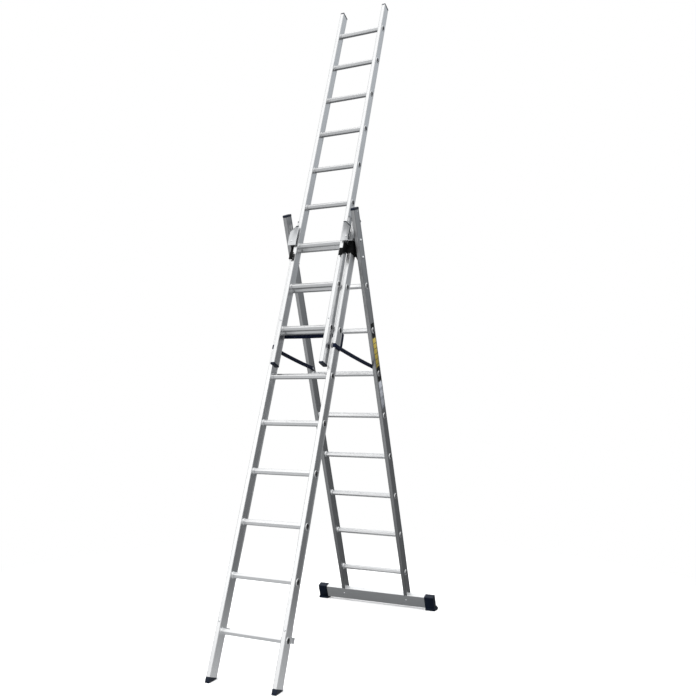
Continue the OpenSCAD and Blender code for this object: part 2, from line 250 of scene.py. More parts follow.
class Effects:
    """Node groups that several finishes share."""

    def __init__(self) -> None:
        """Builds each group once."""
        self.streaks = self._streaks()
        self.grain = self._grain()
        self.scuffs = self._scuffs()
        self.weave = self._weave()

    @staticmethod
    def _streaks() -> bpy.types.NodeTree:
        """Die lines of an extrusion, drawn out along its length.

        Returns:
            The group, with a Mask output from 0 to 1.
        """
        ins = {"Vector": (VECTOR, (0, 0, 0)), "Turn": (VECTOR, (0, 0, 0)),
               "Across": (FLOAT, 900.0), "Along": (FLOAT, 4.0)}
        tree, pad = new_group("extrusion_streaks", ins, {"Mask": FLOAT})
        g_in, g_out = pad.add("NodeGroupInput"), pad.add("NodeGroupOutput")
        place, angles = g_in.outputs["Vector"], g_in.outputs["Turn"]
        across, along = g_in.outputs["Across"], g_in.outputs["Along"]
        turned = pad.add("ShaderNodeVectorRotate", {"Vector": place, "Rotation": angles}, rotation_type="EULER_XYZ")
        stretch = pad.add("ShaderNodeCombineXYZ", {0: across, 1: across, 2: along})
        scaled = pad.add("ShaderNodeVectorMath", {0: turned.outputs[0], 1: stretch.outputs[0]}, operation="MULTIPLY")
        look = {"Vector": scaled.outputs[0], "Scale": 1.0, "Detail": 3.0, "Roughness": 0.6}
        fine = pad.add("ShaderNodeTexNoise", look)
        tree.links.new(pad.remap(fine.outputs[0], 0.3, 0.7), g_out.inputs["Mask"])
        return tree

    @staticmethod
    def _grain() -> bpy.types.NodeTree:
        """Fine moulded or cast grain.

        Returns:
            The group, with a Mask output from 0 to 1.
        """
        sockets = {"Vector": (VECTOR, (0, 0, 0)), "Scale": (FLOAT, 900.0)}
        tree, pad = new_group("moulded_grain", sockets, {"Mask": FLOAT})
        g_in, g_out = pad.add("NodeGroupInput"), pad.add("NodeGroupOutput")
        ins = {"Vector": g_in.outputs["Vector"], "Scale": g_in.outputs["Scale"], "Detail": 2.0, "Roughness": 0.55}
        noise = pad.add("ShaderNodeTexNoise", ins)
        tree.links.new(pad.remap(noise.outputs[0], 0.3, 0.7), g_out.inputs["Mask"])
        return tree

    @staticmethod
    def _scuffs() -> bpy.types.NodeTree:
        """Scattered handling marks and a broad unevenness.

        Returns:
            The group, with Marks and Cloud outputs from 0 to 1.
        """
        ins = {"Vector": (VECTOR, (0, 0, 0)), "Scale": (FLOAT, 14.0), "Amount": (FLOAT, 0.5)}
        tree, pad = new_group("handling_marks", ins, {"Marks": FLOAT, "Cloud": FLOAT})
        g_in, g_out = pad.add("NodeGroupInput"), pad.add("NodeGroupOutput")
        place = g_in.outputs["Vector"]
        cloud = pad.add("ShaderNodeTexNoise", {"Vector": place, "Scale": 5.0, "Detail": 3.0})
        look = {"Vector": place, "Scale": g_in.outputs["Scale"], "Detail": 8.0, "Roughness": 0.75, "Distortion": 0.6}
        fine = pad.add("ShaderNodeTexNoise", look)
        marks = pad.math("MULTIPLY", pad.remap(fine.outputs[0], 0.58, 0.72), g_in.outputs["Amount"])
        tree.links.new(marks, g_out.inputs["Marks"])
        tree.links.new(pad.remap(cloud.outputs[0], 0.3, 0.7), g_out.inputs["Cloud"])
        return tree

    @staticmethod
    def _weave() -> bpy.types.NodeTree:
        """Twill weave of flat webbing, on a UV map in metres: U along, V across.

        Returns:
            The group, with Height and Thread outputs from 0 to 1; the second, weave height times random wear, is
            painted highlight on raised threads and painted shade at the selvedges.
        """
        ins = {"Vector": (VECTOR, (0, 0, 0)), "Pick": (FLOAT, 0.0016), "Width": (FLOAT, 0.025)}
        tree, pad = new_group("webbing_weave", ins, {"Height": FLOAT, "Thread": FLOAT})
        g_in, g_out = pad.add("NodeGroupInput"), pad.add("NodeGroupOutput")
        parts = pad.add("ShaderNodeSeparateXYZ", {0: g_in.outputs["Vector"]})
        along = pad.math("DIVIDE", parts.outputs[0], g_in.outputs["Pick"])
        across = pad.math("DIVIDE", parts.outputs[1], g_in.outputs["Pick"])
        half = pad.math("MULTIPLY", g_in.outputs["Width"], 0.5)
        centre = pad.math("ABSOLUTE", pad.math("SUBTRACT", parts.outputs[1], half))
        turns = 8.0
        zigzag = pad.math("FRACT", pad.math("MULTIPLY", across, 1 / turns))
        herring = pad.math("ABSOLUTE", pad.math("SUBTRACT", zigzag, 0.5))
        slope = pad.math("MULTIPLY", herring, turns)
        ridge = pad.math("SINE", pad.math("MULTIPLY", pad.math("ADD", along, slope), 2 * math.pi))
        warp = pad.math("SINE", pad.math("MULTIPLY", across, 2 * math.pi))
        body = pad.math("ADD", pad.math("MULTIPLY", ridge, 0.3), pad.math("MULTIPLY", warp, 0.2))
        height = pad.math("ADD", body, 0.5)
        selvedge_from, selvedge_to = 0.0098, 0.0116
        edge = pad.remap(centre, selvedge_from, selvedge_to, 0.0, 0.35)
        tree.links.new(pad.math("SUBTRACT", height, edge, clamp=True), g_out.inputs["Height"])
        noise = pad.add("ShaderNodeTexNoise", {"Vector": g_in.outputs["Vector"], "Scale": 700.0, "Detail": 2.0})
        wear = pad.remap(noise.outputs[0], 0.3, 0.7, 0.6, 1.0)
        # Thread brightness: weave height, which gives painted highlight on raised threads and painted shade at the
        # selvedges, times random wear.
        tree.links.new(pad.math("MULTIPLY", height, wear), g_out.inputs["Thread"])
        return tree


@dataclass(frozen=True)
class Finish:
    """Base of every finish: a named Principled material."""

    name: str

    def start(self) -> tuple[bpy.types.Material, Shader, bpy.types.Node]:
        """Creates the material.

        Returns:
            The material, its builder and its Principled node.
        """
        mat = bpy.data.materials.new(self.name)
        mat.use_nodes = True
        mat.node_tree.nodes.clear()
        pad = Shader(mat.node_tree)
        shader = pad.add("ShaderNodeBsdfPrincipled")
        out = pad.add("ShaderNodeOutputMaterial")
        mat.node_tree.links.new(shader.outputs[0], out.inputs[0])
        return mat, pad, shader

    @staticmethod
    def bump(pad: Shader, shader: bpy.types.Node, height: bpy.types.NodeSocket,
             strength: float, distance: float) -> None:
        """Feeds a height into the shader's normal.

        Args:
            pad: Builder of the material.
            shader: The Principled node.
            height: Height socket from 0 to 1.
            strength: Bump strength.
            distance: Depth of the relief in metres.
        """
        node = pad.add("ShaderNodeBump", {"Height": height, "Strength": strength, "Distance": distance})
        pad.tree.links.new(node.outputs[0], shader.inputs["Normal"])


@dataclass(frozen=True)
class Extrusion(Finish):
    """Mill-finished aluminium with die lines along its length; given stile_x, painted shade along a stile's corners.
    """

    tone: float = 0.8
    rough: float = 0.3
    lean: float = 0.0
    across_x: bool = False
    # The stile edges and a line width place painted shade along a stile's corners.
    stile_x: tuple[float, float] | None = None
    line_w: float = 0.003

    def build(self, fx: Effects) -> bpy.types.Material:
        """Builds the material.

        Args:
            fx: Shared node groups.

        Returns:
            The material.
        """
        mat, pad, shader = self.start()
        coords = pad.add("ShaderNodeTexCoord").outputs["Object"]
        turn = (0.0, math.pi / 2, 0.0) if self.across_x else (-self.lean, 0.0, 0.0)
        streaks = pad.use(fx.streaks, {"Vector": coords, "Turn": turn})
        marks = pad.use(fx.scuffs, {"Vector": coords, "Scale": 30.0, "Amount": 0.5})
        base = pad.mix(streaks.outputs["Mask"], grey(self.tone * 0.93, 0.008), grey(self.tone, 0.012))
        soft = pad.mix(pad.math("MULTIPLY", marks.outputs["Cloud"], 0.25), base, grey(self.tone * 0.86, 0.01))
        tinted = pad.mix(marks.outputs["Marks"], soft, grey(self.tone * 0.7, 0.01))
        # Painted shade: darker lines along the stile corners, in place of the shading of rounded corners.
        if self.stile_x:
            tinted = pad.mix(self.corner_lines(pad), tinted, grey(self.tone * 0.5, 0.01))
        pad.tree.links.new(tinted, shader.inputs["Base Color"])
        shader.inputs["Metallic"].default_value = 1.0
        spread = pad.math("MULTIPLY", streaks.outputs["Mask"], 0.1)
        dulled = pad.math("MULTIPLY", marks.outputs["Marks"], 0.2)
        rough = pad.math("ADD", pad.math("ADD", spread, self.rough), dulled)
        pad.tree.links.new(rough, shader.inputs["Roughness"])
        self.bump(pad, shader, streaks.outputs["Mask"], 0.12, 0.0004)
        return mat

    def corner_lines(self, pad: Shader) -> bpy.types.NodeSocket:
        """Mask of painted shade along both corners of a stile's narrow faces, standing in for the shading of rounded
        corners.

        Args:
            pad: Builder of the material.

        Returns:
            The mask.
        """
        inner, outer = self.stile_x
        coords = pad.add("ShaderNodeTexCoord")
        place = pad.add("ShaderNodeSeparateXYZ", {0: coords.outputs["Object"]}).outputs[0]
        facing = pad.add("ShaderNodeSeparateXYZ", {0: coords.outputs["Normal"]}).outputs[0]
        off = pad.math("ABSOLUTE", pad.math("SUBTRACT", pad.math("ABSOLUTE", place), (inner + outer) / 2))
        near = pad.math("GREATER_THAN", off, (outer - inner) / 2 - self.line_w)
        narrow = pad.math("LESS_THAN", pad.math("ABSOLUTE", facing), 0.7)
        return pad.math("MULTIPLY", near, narrow)


@dataclass(frozen=True)
class Plated(Finish):
    """Zinc-plated steel with a faint spangle."""

    tone: float = 0.6
    rough: float = 0.32

    def build(self, fx: Effects) -> bpy.types.Material:
        """Builds the material.

        Args:
            fx: Shared node groups.

        Returns:
            The material.
        """
        mat, pad, shader = self.start()
        coords = pad.add("ShaderNodeTexCoord").outputs["Object"]
        cells = pad.add("ShaderNodeTexVoronoi", {"Vector": coords, "Scale": 420.0})
        marks = pad.use(fx.scuffs, {"Vector": coords, "Scale": 60.0, "Amount": 0.6})
        spangle = pad.math("MULTIPLY", cells.outputs["Distance"], 0.5)
        base = pad.mix(spangle, grey(self.tone, 0.02), grey(self.tone * 0.75, 0.02))
        tinted = pad.mix(marks.outputs["Marks"], base, grey(self.tone * 0.45))
        pad.tree.links.new(tinted, shader.inputs["Base Color"])
        shader.inputs["Metallic"].default_value = 1.0
        rough = pad.math("ADD", pad.math("MULTIPLY", marks.outputs["Cloud"], 0.12), self.rough)
        pad.tree.links.new(rough, shader.inputs["Roughness"])
        self.bump(pad, shader, cells.outputs["Distance"], 0.08, 0.0003)
        return mat


@dataclass(frozen=True)
class Moulded(Finish):
    """Injection-moulded plastic with fine grain and a few pale scuffs."""

    colour: tuple[float, float, float] = (0.012, 0.02, 0.045)
    rough: float = 0.38
    gloss: float = 0.22

    def build(self, fx: Effects) -> bpy.types.Material:
        """Builds the material.

        Args:
            fx: Shared node groups.

        Returns:
            The material.
        """
        mat, pad, shader = self.start()
        coords = pad.add("ShaderNodeTexCoord").outputs["Object"]
        grain = pad.use(fx.grain, {"Vector": coords, "Scale": 1400.0})
        marks = pad.use(fx.scuffs, {"Vector": coords, "Scale": 90.0, "Amount": 0.35})
        dark = (*self.colour, 1.0)
        light = tuple(min(1.0, c * 1.6 + 0.001) for c in self.colour) + (1.0,)
        pale = tuple(min(1.0, c + 0.035) for c in self.colour) + (1.0,)
        base = pad.mix(pad.math("MULTIPLY", marks.outputs["Cloud"], 0.5), dark, light)
        pad.tree.links.new(pad.mix(marks.outputs["Marks"], base, pale), shader.inputs["Base Color"])
        rough = pad.math("ADD", pad.math("MULTIPLY", grain.outputs["Mask"], 0.12), self.rough)
        pad.tree.links.new(rough, shader.inputs["Roughness"])
        shader.inputs["Specular IOR Level"].default_value = self.gloss
        self.bump(pad, shader, grain.outputs["Mask"], 0.35, 0.0002)
        return mat


@dataclass(frozen=True)
class Webbing(Finish):
    """Woven polyester strap."""

    colour: tuple[float, float, float] = (0.002, 0.004, 0.014)

    def build(self, fx: Effects) -> bpy.types.Material:
        """Builds the material.

        Args:
            fx: Shared node groups.

        Returns:
            The material.
        """
        mat, pad, shader = self.start()
        coords = pad.add("ShaderNodeTexCoord").outputs["UV"]
        weave = pad.use(fx.weave, {"Vector": coords})
        light = tuple(min(1.0, c * 2.2 + 0.001) for c in self.colour) + (1.0,)
        # Painted highlight and shade: raised threads lighter, selvedges darker, following weave height, with random
        # wear.
        pad.tree.links.new(pad.mix(weave.outputs["Thread"], (*self.colour, 1.0), light), shader.inputs["Base Color"])
        shader.inputs["Roughness"].default_value = 0.82
        shader.inputs["Specular IOR Level"].default_value = 0.12
        shader.inputs["Sheen Weight"].default_value = 0.02
        self.bump(pad, shader, weave.outputs["Height"], 0.7, 0.0005)
        return mat


@dataclass(frozen=True)
class Foil(Finish):
    """Self-adhesive foil with plain bars and no lettering."""

    ground: tuple[float, float, float] = (0.75, 0.6, 0.08)
    band: tuple[float, float, float] = (0.05, 0.05, 0.05)
    along: tuple[float, float, float] = (0.0, 0.0, 1.0)
    pitch: float = 0.034
    share: float = 0.16

    def build(self, fx: Effects) -> bpy.types.Material:
        """Builds the material.

        Args:
            fx: Shared node groups.

        Returns:
            The material.
        """
        mat, pad, shader = self.start()
        coords = pad.add("ShaderNodeTexCoord").outputs["Object"]
        run = pad.add("ShaderNodeVectorMath", {0: coords, 1: self.along}, operation="DOT_PRODUCT").outputs["Value"]
        step = pad.math("FRACT", pad.math("DIVIDE", run, self.pitch))
        bar = pad.math("LESS_THAN", step, self.share)
        marks = pad.use(fx.scuffs, {"Vector": coords, "Scale": 50.0, "Amount": 0.5})
        face = pad.mix(bar, (*self.ground, 1.0), (*self.band, 1.0))
        worn = tuple(c * 0.55 + 0.06 for c in self.ground) + (1.0,)
        aged = pad.mix(pad.math("MULTIPLY", marks.outputs["Cloud"], 0.5), face, worn)
        pad.tree.links.new(pad.mix(marks.outputs["Marks"], aged, grey(0.3)), shader.inputs["Base Color"])
        rough = pad.math("ADD", pad.math("MULTIPLY", marks.outputs["Cloud"], 0.2), 0.28)
        pad.tree.links.new(rough, shader.inputs["Roughness"])
        return mat


# ---------------------------------------------------------------- geometry helpers


def add_object(name: str, mesh: bpy.types.Mesh) -> bpy.types.Object:
    """Links a new object for a mesh.

    Args:
        name: Object name.
        mesh: Its mesh.

    Returns:
        The object, at the origin.
    """
    obj = bpy.data.objects.new(name, mesh)
    bpy.context.scene.collection.objects.link(obj)
    return obj


def mesh_from(bm: bmesh.types.BMesh, name: str, smooth: bool = True) -> bpy.types.Mesh:
    """Turns a bmesh into a mesh and frees it.

    Args:
        bm: The bmesh.
        name: Mesh name.
        smooth: Whether faces are shaded smooth.

    Returns:
        The mesh.
    """
    mesh = bpy.data.meshes.new(name)
    for face in bm.faces:
        face.smooth = smooth
    bm.to_mesh(mesh)
    bm.free()
    return mesh


def bake(obj: bpy.types.Object) -> None:
    """Replaces an object's mesh with its evaluated one and drops its modifiers.

    Args:
        obj: The object to bake.
    """
    graph = bpy.context.evaluated_depsgraph_get()
    graph.update()
    result = bpy.data.meshes.new_from_object(obj.evaluated_get(graph), depsgraph=graph)
    obj.modifiers.clear()
    obj.data = result


def set_finish(obj: bpy.types.Object, *finishes: bpy.types.Material) -> None:
    """Gives an object these materials and no others.

    Args:
        obj: The object.
        finishes: Its materials, in slot order.
    """
    obj.data.materials.clear()
    for mat in finishes:
        obj.data.materials.append(mat)


def merged_copy(node: str) -> bmesh.types.BMesh:
    """Joined-up copy of a CAD node's mesh.

    Args:
        node: CAD node name.

    Returns:
        A bmesh with doubles merged and flat areas dissolved.
    """
    bm = bmesh.new()
    bm.from_mesh(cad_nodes()[node].data)
    bmesh.ops.remove_doubles(bm, verts=bm.verts, dist=DOUBLES)
    bmesh.ops.dissolve_limit(bm, angle_limit=math.radians(1.0), verts=bm.verts, edges=bm.edges)
    return bm


_FRAME: dict[str, object] = {}


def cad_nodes() -> dict[str, bpy.types.Object]:
    """CAD objects by node name."""
    return _FRAME["nodes"]


def softened(node: str, name: str, body: Body, width: float, segments: int = 2) -> bpy.types.Object:
    """Stands a copy with rounded edges in for a CAD node.

    Args:
        node: CAD node replaced.
        name: Name of the piece.
        body: Body it rides on.
        width: Radius of the rounded edges.
        segments: Facets across each rounded edge.

    Returns:
        The finished piece.
    """
    obj = add_object(name, mesh_from(merged_copy(node), name))
    mod = obj.modifiers.new("round", "BEVEL")
    mod.width, mod.segments, mod.limit_method, mod.angle_limit = width, segments, "ANGLE", math.radians(28)
    mod.harden_normals = False
    bake(obj)
    obj.data.set_sharp_from_angle(angle=math.radians(50))
    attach(obj, body.value)
    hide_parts(node)
    return obj


@dataclass
class SectionFrame:
    """Axes of one ladder section, found from its first and last rungs."""

    prefix: str
    body: Body
    rungs: int
    origin: Vector = field(init=False)
    along: Vector = field(init=False)
    back: Vector = field(init=False)
    pitch: float = field(init=False)

    def __post_init__(self) -> None:
        """Works out the axes."""
        first, last = (self.centre(f"{self.prefix}_rung_{i}") for i in (1, self.rungs))
        self.origin = first
        self.pitch = (last - first).length / (self.rungs - 1)
        self.along = (last - first).normalized()
        self.back = self.along.cross(X_WAY).normalized()

    @staticmethod
    def centre(node: str) -> Vector:
        """Middle of a node's box."""
        low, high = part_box(node)
        return (Vector(low) + Vector(high)) / 2

    @property
    def depth(self) -> float:
        """Depth of the stiles, from the leaning box of one of them."""
        low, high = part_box(f"{self.prefix}_stile_right")
        run, rise, lean = high[1] - low[1], high[2] - low[2], abs(self.lean)
        return (run * math.cos(lean) - rise * math.sin(lean)) / math.cos(2 * lean)

    @property
    def stile_x(self) -> tuple[float, float]:
        """Inner and outer edge of the right stile."""
        low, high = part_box(f"{self.prefix}_stile_right")
        return low[0], high[0]

    @property
    def lean(self) -> float:
        """Angle from upright, positive towards +Y."""
        return math.atan2(self.along.y, self.along.z)

    def point(self, x: float, depth: float, height: float) -> Vector:
        """Point in the room from section coordinates.

        Args:
            x: Distance along the rungs.
            depth: Distance behind the rungs' middle plane.
            height: Distance above the first rung.

        Returns:
            The point.
        """
        foot = Vector((0, self.origin.y, self.origin.z))
        return Vector((x, 0, 0)) + foot + self.back * depth + self.along * height


# ---------------------------------------------------------------- studio


@dataclass
class Studio:
    """Camera, lights, backdrop and floor."""

    camera_place: tuple[float, float, float] = (2.085, -4.178, 1.421)
    turn_deg: float = 24.66
    tilt_deg: float = 3.58
    roll_deg: float = 0.14
    lens_mm: float = 40.06
    floor_size: float = 60.0

    def camera(self) -> None:
        """Creates the camera."""
        data = bpy.data.cameras.new("camera")
        data.lens, data.sensor_width, data.clip_end = self.lens_mm, 36.0, 200.0
        cam = bpy.data.objects.new("camera", data)
        turn = Matrix.Rotation(math.radians(self.turn_deg), 4, "Z")
        tilt = Matrix.Rotation(math.radians(90 + self.tilt_deg), 4, "X")
        roll = Matrix.Rotation(math.radians(self.roll_deg), 4, "Z")
        cam.matrix_world = Matrix.Translation(self.camera_place) @ turn @ tilt @ roll
        bpy.context.scene.collection.objects.link(cam)
        bpy.context.scene.camera = cam

    @staticmethod
    def light(name: str, place: Sequence[float], target: Sequence[float],
              size: tuple[float, float], power: float) -> None:
        """Adds a soft rectangular lamp that metal doesn't mirror.

        Args:
            name: Lamp name.
            place: Where it hangs.
            target: Where it points.
            size: Its width and height.
            power: Its power in watts.
        """
        data = bpy.data.lights.new(name, "AREA")
        data.shape, data.size, data.size_y, data.energy = "RECTANGLE", size[0], size[1], power
        lamp = bpy.data.objects.new(name, data)
        lamp.location = place
        lamp.visible_glossy = False
        lamp.rotation_euler = (Vector(target) - Vector(place)).to_track_quat("-Z", "Y").to_euler()
        bpy.context.scene.collection.objects.link(lamp)

    @staticmethod
    def world() -> None:
        """White above, grey towards the horizon and darker low at the back; the camera sees plain white."""
        world = bpy.data.worlds.new("studio")
        bpy.context.scene.world = world
        world.use_nodes = True
        world.node_tree.nodes.clear()
        pad = Shader(world.node_tree)
        way = pad.add("ShaderNodeTexCoord").outputs["Generated"]
        unit = pad.add("ShaderNodeVectorMath", {0: way}, operation="NORMALIZE").outputs[0]
        parts = pad.add("ShaderNodeSeparateXYZ", {0: unit})
        height = parts.outputs[2]
        sky = grey(1.42)
        front = pad.mix(pad.remap(height, 0.15, 0.29), grey(0.50, 0.02), sky)
        haze = pad.mix(pad.remap(height, 0.02, 0.30), grey(0.15, 0.006), grey(0.58, 0.06))
        behind = pad.mix(pad.remap(height, 0.5, 0.85), haze, sky)
        surround = pad.mix(pad.remap(parts.outputs[1], -0.3, 0.5), front, behind)
        lit = pad.add("ShaderNodeBackground", {"Color": surround, "Strength": 1.0})
        plain = pad.add("ShaderNodeBackground", {"Color": grey(1.0), "Strength": 1.0})
        seen = pad.add("ShaderNodeLightPath").outputs["Is Camera Ray"]
        both = pad.add("ShaderNodeMixShader", {0: seen, 1: lit.outputs[0], 2: plain.outputs[0]})
        out = pad.add("ShaderNodeOutputWorld")
        world.node_tree.links.new(both.outputs[0], out.inputs[0])

    def floor(self) -> None:
        """Pale floor that melts into the backdrop; metal sees it greyer than the eye does, as a glowing grey darker
        towards the back: painted reflection.
        """
        bm = bmesh.new()
        bmesh.ops.create_grid(bm, x_segments=1, y_segments=1, size=self.floor_size / 2)
        floor = add_object("floor", mesh_from(bm, "floor", smooth=False))
        mat = bpy.data.materials.new("pale_floor")
        mat.use_nodes = True
        mat.node_tree.nodes.clear()
        pad = Shader(mat.node_tree)
        coords = pad.add("ShaderNodeTexCoord").outputs["Object"]
        reach = pad.add("ShaderNodeVectorMath", {0: coords}, operation="LENGTH").outputs["Value"]
        fade = pad.remap(reach, 1.4, 3.2)
        matt = pad.add("ShaderNodeBsdfDiffuse", {"Color": grey(0.95)})
        glow = pad.add("ShaderNodeEmission", {"Color": grey(1.0), "Strength": 1.0})
        shown = pad.add("ShaderNodeMixShader", {0: fade, 1: matt.outputs[0], 2: glow.outputs[0]})
        # Painted reflection: rays other than the camera's see the floor glow grey, darker towards the back, whatever
        # light falls on it.
        depth = pad.add("ShaderNodeSeparateXYZ", {0: coords}).outputs[1]
        tone = pad.mix(pad.remap(depth, -1.3, 0.9), grey(0.64, 0.02), grey(0.15, 0.01))
        mirrored = pad.add("ShaderNodeEmission", {"Color": tone, "Strength": 1.0})
        seen = pad.add("ShaderNodeLightPath").outputs["Is Camera Ray"]
        both = pad.add("ShaderNodeMixShader", {0: seen, 1: mirrored.outputs[0], 2: shown.outputs[0]})
        out = pad.add("ShaderNodeOutputMaterial")
        mat.node_tree.links.new(both.outputs[0], out.inputs[0])
        floor.data.materials.append(mat)

    def build(self) -> None:
        """Sets the whole studio up."""
        self.camera()
        self.world()
        self.floor()
        self.light("front_softbox", place=(-2.6, -5.5, 5.0), target=(0, 0, 1.8), size=(4.5, 3.5), power=420.0)
        self.light("overhead_softbox", place=(0.5, 0.5, 6.8), target=(0, 0, 1.0), size=(5.0, 5.0), power=160.0)
        scene = bpy.context.scene
        scene.view_settings.view_transform = "Standard"
        scene.view_settings.look = "None"


# ---------------------------------------------------------------- ladder


@dataclass
class Metalwork:
    """Stiles, rungs and bar: CAD nodes that keep their shape and get their finish."""

    sections: dict[str, SectionFrame]
    fx: Effects

    @staticmethod
    def dress(nodes: Iterable[str], mat: bpy.types.Material) -> None:
        """Gives CAD nodes a material.

        Args:
            nodes: CAD node names.
            mat: The material.
        """
        for node in nodes:
            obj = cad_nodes()[node]
            for slot in obj.material_slots:
                slot.material = mat

    def build(self) -> None:
        """Dresses each section from its stile tone, roughness and rung tone; the rear stiles' dark tone is painted
        shade.
        """
        # The rear stile tone, about half the middle's, is painted shade for the darker look of the rear section's
        # sides.
        tones_with_painted_shade = {"middle": (0.82, 0.26, 0.80), "rear": (0.44, 0.28, 0.90), "top": (0.74, 0.26, 0.74)}
        for key, frame in self.sections.items():
            tone, rough, rung_tone = tones_with_painted_shade[key]
            stile = Extrusion(f"{key}_stile_aluminium", tone, rough, lean=frame.lean, stile_x=frame.stile_x)
            rung = Extrusion(f"{key}_rung_aluminium", rung_tone, rough, across_x=True)
            stile, rung = stile.build(self.fx), rung.build(self.fx)
            self.dress([f"{key}_stile_left", f"{key}_stile_right"], stile)
            self.dress([f"{key}_rung_{i}" for i in range(1, frame.rungs + 1)], rung)
            LOG.info("%s section dressed", key)
        bar = Extrusion("bar_aluminium", tone=0.92, rough=0.34, across_x=True).build(self.fx)
        self.dress(["stabiliser_bar"], bar)


@dataclass
class Fittings:
    """Caps, feet, hooks, guides and hinge: rounded copies of their CAD nodes."""

    fx: Effects
    middle: SectionFrame
    trim_w: float = 0.005
    trim_t: float = 0.004

    def build(self) -> None:
        """Builds every fitting."""
        navy = Moulded("navy_plastic", (0.0022, 0.0052, 0.013), 0.36).build(self.fx)
        black = Moulded("black_plastic", (0.0012, 0.0014, 0.0016), 0.5, 0.1).build(self.fx)
        plate = Plated("guide_plate", 0.62, 0.42).build(self.fx)
        # Dark trim raised along the guides' top edge and down the right guide's outer edge.
        dark_trim_finish = Moulded("sheared_edge", (0.008, 0.012, 0.014), 0.5).build(self.fx)
        hook = Plated("hook_steel", 0.34, 0.38).build(self.fx)
        zinc = Plated("hook_zinc", 0.72, 0.34).build(self.fx)
        pin = Plated("pin_steel", 0.7, 0.25).build(self.fx)
        plan = [
            ("middle_foot_left", Body.MIDDLE, 0.006, navy), ("middle_foot_right", Body.MIDDLE, 0.006, navy),
            ("middle_cap_left", Body.MIDDLE, 0.0012, navy), ("middle_cap_right", Body.MIDDLE, 0.0012, navy),
            ("rear_cap_left", Body.REAR, 0.0012, navy), ("rear_cap_right", Body.REAR, 0.0012, navy),
            ("top_caps", Body.TOP, 0.0012, navy), ("top_feet", Body.TOP, 0.003, navy),
            ("stabiliser_foot_left", Body.REAR, 0.004, navy), ("stabiliser_foot_right", Body.REAR, 0.004, navy),
            ("hinge_collar_left", Body.MIDDLE, 0.0014, black), ("hinge_collar_right", Body.MIDDLE, 0.0014, black),
            ("hinge_plate_left", Body.REAR, 0.0012, black), ("hinge_plate_right", Body.REAR, 0.0012, black),
            ("middle_hooks", Body.MIDDLE, 0.0009, zinc), ("top_hooks", Body.TOP, 0.0009, hook),
            ("guide_left", Body.MIDDLE, 0.0008, plate), ("guide_right", Body.MIDDLE, 0.0008, plate),
            ("hinge_pins", Body.REAR, 0.0006, pin),
        ]
        for node, body, width, mat in plan:
            piece = softened(node, f"{node}_piece", body, width)
            set_finish(piece, mat)
            if node.startswith("guide"):
                self.edge_trim(piece, dark_trim_finish)
            LOG.info("%s rounded", node)

    def edge_trim(self, piece: bpy.types.Object, mat: bpy.types.Material) -> None:
        """Raises a dark trim along a guide's top edge, and down the outer edge of the right guide.

        Args:
            piece: The guide.
            mat: Finish of the trim.
        """
        piece.data.materials.append(mat)
        bm = bmesh.new()
        bm.from_mesh(piece.data)
        back, along = self.middle.back, self.middle.along
        face = max((f for f in bm.faces if f.normal.dot(back) < -0.98), key=lambda f: f.calc_area())
        rim = bmesh.ops.inset_region(bm, faces=[face], thickness=self.trim_w, use_even_offset=True)["faces"]
        out = max((abs(v.co.x) for v in face.verts))
        top = max((v.co.dot(along) for v in face.verts))
        low = min((v.co.dot(along) for v in face.verts))
        trim = []
        for part in rim:
            place = part.calc_center_median()
            height = place.dot(along)
            sloped = height > low + self.trim_w and abs(place.x) > abs(face.calc_center_median().x)
            outer = abs(place.x) > out - self.trim_w or sloped
            if height > top - self.trim_w or (outer and place.x > 0):
                trim.append(part)
        grown = bmesh.ops.extrude_face_region(bm, geom=trim)
        bmesh.ops.delete(bm, geom=trim, context="FACES")
        verts = [item for item in grown["geom"] if isinstance(item, bmesh.types.BMVert)]
        bmesh.ops.translate(bm, verts=verts, vec=-back * self.trim_t)
        moved = set(verts)
        for item in bm.faces:
            if any(vert in moved for vert in item.verts):
                item.material_index = 1
        bmesh.ops.recalc_face_normals(bm, faces=bm.faces)
        bm.to_mesh(piece.data)
        bm.free()


@dataclass(frozen=True)
class Ribbon:
    """Flat webbing with softened edges, swept along a path."""

    width: float = 0.025
    thick: float = 0.002

    def outline(self) -> list[tuple[float, float]]:
        """Cross-section as (across, up) points, anticlockwise."""
        w, t, c = self.width / 2, self.thick / 2, self.thick * 0.35
        lower = [(-w, -t + c), (-w + c, -t), (0.0, -t), (w - c, -t), (w, -t + c)]
        upper = [(w, t - c), (w - c, t), (0.0, t), (-w + c, t), (-w, t - c)]
        return lower + upper

    def sweep(self, bm: bmesh.types.BMesh, path: Sequence[Vector], across: Vector, closed: bool = False) -> None:
        """Adds one length of webbing.

        Args:
            bm: Mesh to add to.
            path: Middle line of the webbing.
            across: Direction of its width.
            closed: Whether the path is a loop.
        """
        uv = bm.loops.layers.uv.verify()
        outline, rings, lengths, total = self.outline(), [], [], 0.0
        count = len(path)
        for i, place in enumerate(path):
            before = path[i - 1] if (i or closed) else place
            after = path[(i + 1) % count] if (i < count - 1 or closed) else place
            way = (after - before).normalized()
            flat = (across - way * across.dot(way)).normalized()
            up = way.cross(flat)
            rings.append([bm.verts.new(place + flat * u + up * v) for u, v in outline])
            lengths.append(total)
            total += (path[(i + 1) % count] - place).length
        spans = count if closed else count - 1
        size = len(outline)
        for i in range(spans):
            one, two = rings[i], rings[(i + 1) % count]
            end = lengths[i + 1] if i + 1 < count else total
            for k in range(size):
                n = (k + 1) % size
                face = bm.faces.new((one[k], two[k], two[n], one[n]))
                marks = ((lengths[i], k), (end, k), (end, n), (lengths[i], n))
                for loop, (u, at) in zip(face.loops, marks):
                    loop[uv].uv = (u, outline[at][0] + self.width / 2)
        if not closed:
            bm.faces.new(rings[0])
            bm.faces.new(list(reversed(rings[-1])))


